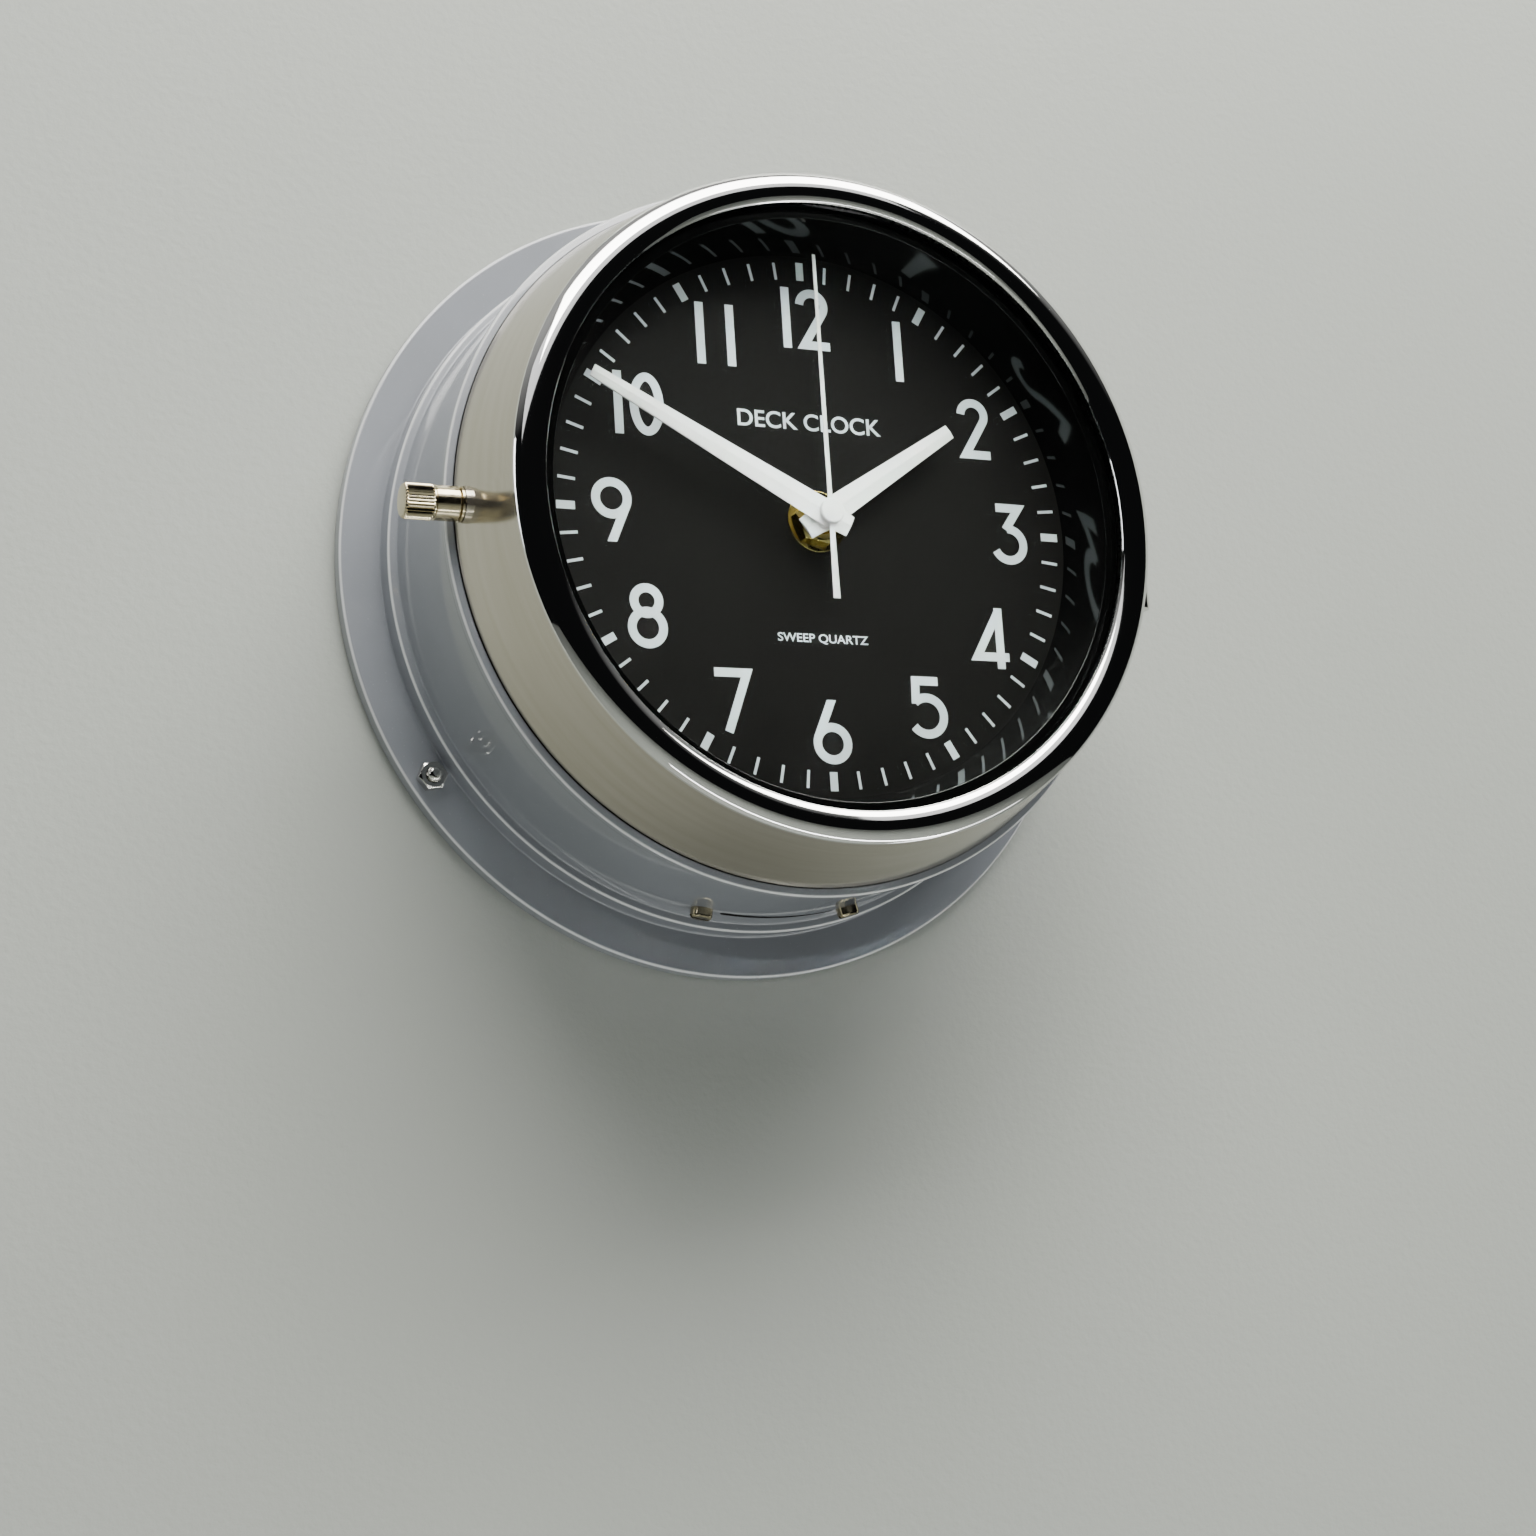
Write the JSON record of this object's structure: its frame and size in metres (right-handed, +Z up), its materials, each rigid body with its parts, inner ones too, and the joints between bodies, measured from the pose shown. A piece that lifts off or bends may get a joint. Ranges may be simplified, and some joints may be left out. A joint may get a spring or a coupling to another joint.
{
  "type": "ship's deck clock",
  "caption": "Round bulkhead clock with a flanged metal case, a hinged glazed bezel held by a thumb screw, a dial with numerals and three hands driven by a battery movement.",
  "frame": {"origin": "centre of the rear face that lies on the wall", "axes": "+Y into the wall, so the dial faces -Y; +Z up to 12 o'clock; +X to 3 o'clock and the hinge"},
  "size_m": [0.22, 0.0866, 0.22],
  "materials": {
    "case_enamel": "gloss grey enamel",
    "plate_steel": "satin grey paint",
    "zinc_steel": "bright zinc plate",
    "nickel": "nickel plate",
    "bezel_nickel": "satin skirt, polished rim",
    "black_rubber": "matt",
    "dial_black": "satin black lacquer",
    "surround_black": "gloss black",
    "glass": "clear, polished",
    "brass": "polished",
    "movement_black": "fine matt moulding",
    "acetal_white": "natural acetal",
    "board_green": "solder resist",
    "chip_black": "matt epoxy",
    "soft_iron": "plain",
    "copper_wire": "enamelled copper",
    "battery_wrap": "gloss wrapper",
    "hand_white": "satin white lacquer"
  },
  "bodies": {
    "case": {"wall_plate": "plate_steel", "wall_studs": "zinc_steel", "flange_nuts": "zinc_steel", "plate_gasket": "black_rubber", "rear_case": "case_enamel", "slot_cover": "black_rubber", "slot_screws": "nickel", "slot_nuts": "zinc_steel", "front_gasket": "black_rubber", "dial": "dial_black", "dial_surround": "surround_black", "surround_screws": "zinc_steel", "case_hinge_leaf": "zinc_steel", "hinge_pin": "zinc_steel", "hinge_screws": "zinc_steel", "screw_insert": "brass", "movement_back_cover": "movement_black", "movement_front_cover": "movement_black", "centre_bush": "brass", "bush_rubber": "black_rubber", "bush_washer": "brass", "bush_nut": "brass", "train_bridge": "acetal_white", "works_post": "zinc_steel", "circuit_board": "board_green", "crystal": "zinc_steel", "chip": "chip_black", "stator": "soft_iron", "coil_bobbin": "acetal_white", "coil_winding": "copper_wire", "battery_contacts": "zinc_steel"},
    "bezel": {"bezel": "bezel_nickel", "screw_pad": "nickel", "glass": "glass", "glass_gasket": "black_rubber", "retaining_ring": "zinc_steel", "bezel_hinge_leaf": "zinc_steel", "hinge_rivets": "zinc_steel"},
    "clamp_washer": {"screw_washer": "nickel"},
    "thumb_knob": {"thumb_screw": "nickel"},
    "cell": {"battery": "battery_wrap"},
    "seconds": {"second_wheel": "acetal_white", "second_hand": "hand_white", "second_cap": "hand_white"},
    "minutes": {"centre_wheel": "acetal_white", "minute_hand": "hand_white"},
    "hours": {"hour_wheel": "acetal_white", "hour_hand": "hand_white"},
    "third": {"third_wheel": "acetal_white"},
    "between": {"between_wheel": "acetal_white"},
    "rotor": {"rotor": "acetal_white"},
    "works": {"works_wheel": "acetal_white"},
    "setting": {"setting_wheel": "acetal_white", "setting_knob": "movement_black"}
  },
  "joints": [
    {"name": "bezel_swing", "type": "hinge", "parent": "case", "child": "bezel", "pos_m": [0.1025, -0.0543, 0], "axis": [0, 0, 1], "range_deg": [0, 110]},
    {"name": "screw_travel", "type": "slide", "parent": "case", "child": "clamp_washer", "axis": [-1, 0, 0], "range_m": [0, 0.0021]},
    {"name": "screw_turn", "type": "hinge", "parent": "clamp_washer", "child": "thumb_knob", "pos_m": [-0.1, -0.061, 0], "axis": [-1, 0, 0], "range_deg": [0, 1080]},
    {"name": "battery_slide", "type": "slide", "parent": "case", "child": "cell", "axis": [0, 1, 0], "range_m": [0, 0.03]},
    {"name": "second_spin", "type": "hinge", "parent": "case", "child": "seconds", "pos_m": [0, -0.0754, 0], "axis": [0, 1, 0], "continuous": true},
    {"name": "minute_spin", "type": "hinge", "parent": "case", "child": "minutes", "pos_m": [0, -0.0736, 0], "axis": [0, 1, 0], "continuous": true},
    {"name": "hour_spin", "type": "hinge", "parent": "case", "child": "hours", "pos_m": [0, -0.0714, 0], "axis": [0, 1, 0], "continuous": true},
    {"name": "third_spin", "type": "hinge", "parent": "case", "child": "third", "pos_m": [-0.0102, -0.056, 0], "axis": [0, 1, 0], "continuous": true},
    {"name": "between_spin", "type": "hinge", "parent": "case", "child": "between", "pos_m": [0.00846, -0.052, 0.00308], "axis": [0, 1, 0], "continuous": true},
    {"name": "rotor_spin", "type": "hinge", "parent": "case", "child": "rotor", "pos_m": [0.01635, -0.054, 0.00595], "axis": [0, 1, 0], "continuous": true},
    {"name": "works_spin", "type": "hinge", "parent": "case", "child": "works", "pos_m": [0, -0.06, 0.0072], "axis": [0, 1, 0], "continuous": true},
    {"name": "setting_spin", "type": "hinge", "parent": "case", "child": "setting", "pos_m": [0, -0.06, 0.0156], "axis": [0, 1, 0], "continuous": true}
  ],
  "couplings": [
    {"joint": "screw_turn", "follows": "screw_travel", "rad_per_m": 8976},
    {"joint": "minute_spin", "follows": "second_spin", "ratio": 0.016667},
    {"joint": "hour_spin", "follows": "second_spin", "ratio": 0.0013889},
    {"joint": "third_spin", "follows": "second_spin", "ratio": -0.13333},
    {"joint": "works_spin", "follows": "second_spin", "ratio": -0.0055556},
    {"joint": "setting_spin", "follows": "second_spin", "ratio": 0.01},
    {"joint": "between_spin", "follows": "second_spin", "ratio": -5},
    {"joint": "rotor_spin", "follows": "second_spin", "ratio": 30}
  ]
}
